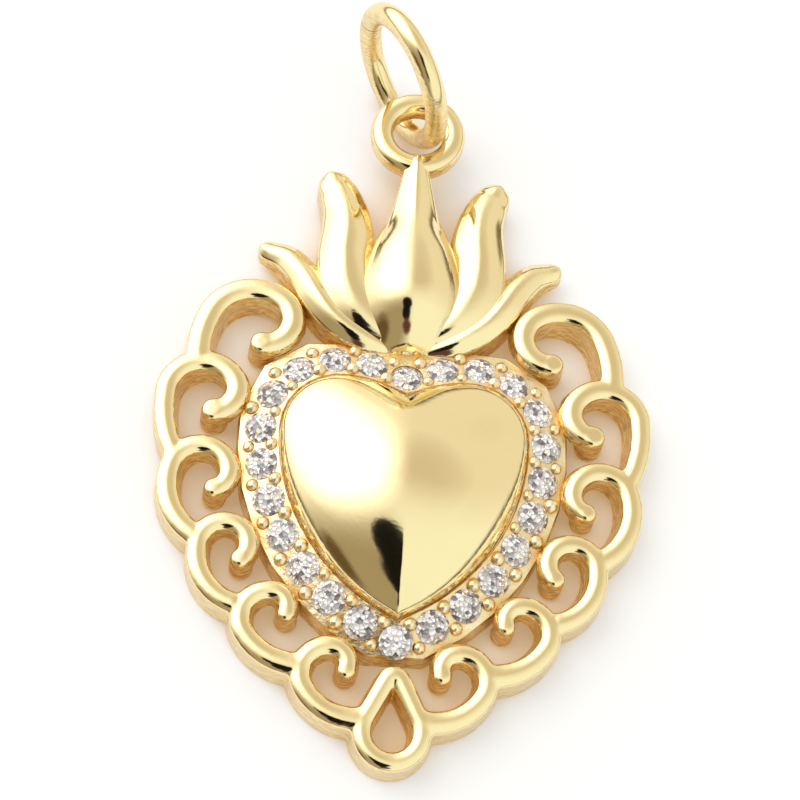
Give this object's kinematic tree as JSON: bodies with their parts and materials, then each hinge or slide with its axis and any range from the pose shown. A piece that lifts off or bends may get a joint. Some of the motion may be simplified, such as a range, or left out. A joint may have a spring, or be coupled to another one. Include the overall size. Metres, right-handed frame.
{
  "type": "sacred heart pendant",
  "caption": "Flat-backed metal pendant: a domed heart in a halo of set stones, scrolled openwork border, flame on top, hanging loop and jump ring.",
  "frame": {"origin": "on the flat back, on the mirror line, near the middle of the heart", "axes": "+Z out of the front, +Y from the lower tip to the hanging loop, X across, X = 0 is the mirror line of the cast piece"},
  "size_m": [0.0208, 0.0331, 0.0068],
  "materials": {
    "gold_plate": "gold-plated cast brass, polished faces, as-cast inner walls",
    "ring_gold": "gold-plated drawn brass wire, polished",
    "stone_crystal": "clear faceted crystal with a bright foil behind"
  },
  "bodies": {
    "pendant": {"cast_body": "gold_plate", "stone_01": "stone_crystal", "stone_02": "stone_crystal", "stone_03": "stone_crystal", "stone_04": "stone_crystal", "stone_05": "stone_crystal", "stone_06": "stone_crystal", "stone_07": "stone_crystal", "stone_08": "stone_crystal", "stone_09": "stone_crystal", "stone_10": "stone_crystal", "stone_11": "stone_crystal", "stone_12": "stone_crystal", "stone_13": "stone_crystal", "stone_14": "stone_crystal", "stone_15": "stone_crystal", "stone_16": "stone_crystal", "stone_17": "stone_crystal", "stone_18": "stone_crystal", "stone_19": "stone_crystal", "stone_20": "stone_crystal", "stone_21": "stone_crystal", "stone_22": "stone_crystal", "stone_23": "stone_crystal", "stone_24": "stone_crystal"},
    "jump_ring": {"jump_ring": "ring_gold"}
  },
  "joints": [
    {"name": "jump_ring_swing", "type": "hinge", "parent": "pendant", "child": "jump_ring", "pos_m": [-0.00068, 0.02065, 0.0018], "axis": [0.8462, 0.5329, 0], "range_deg": [-135, 0]}
  ]
}
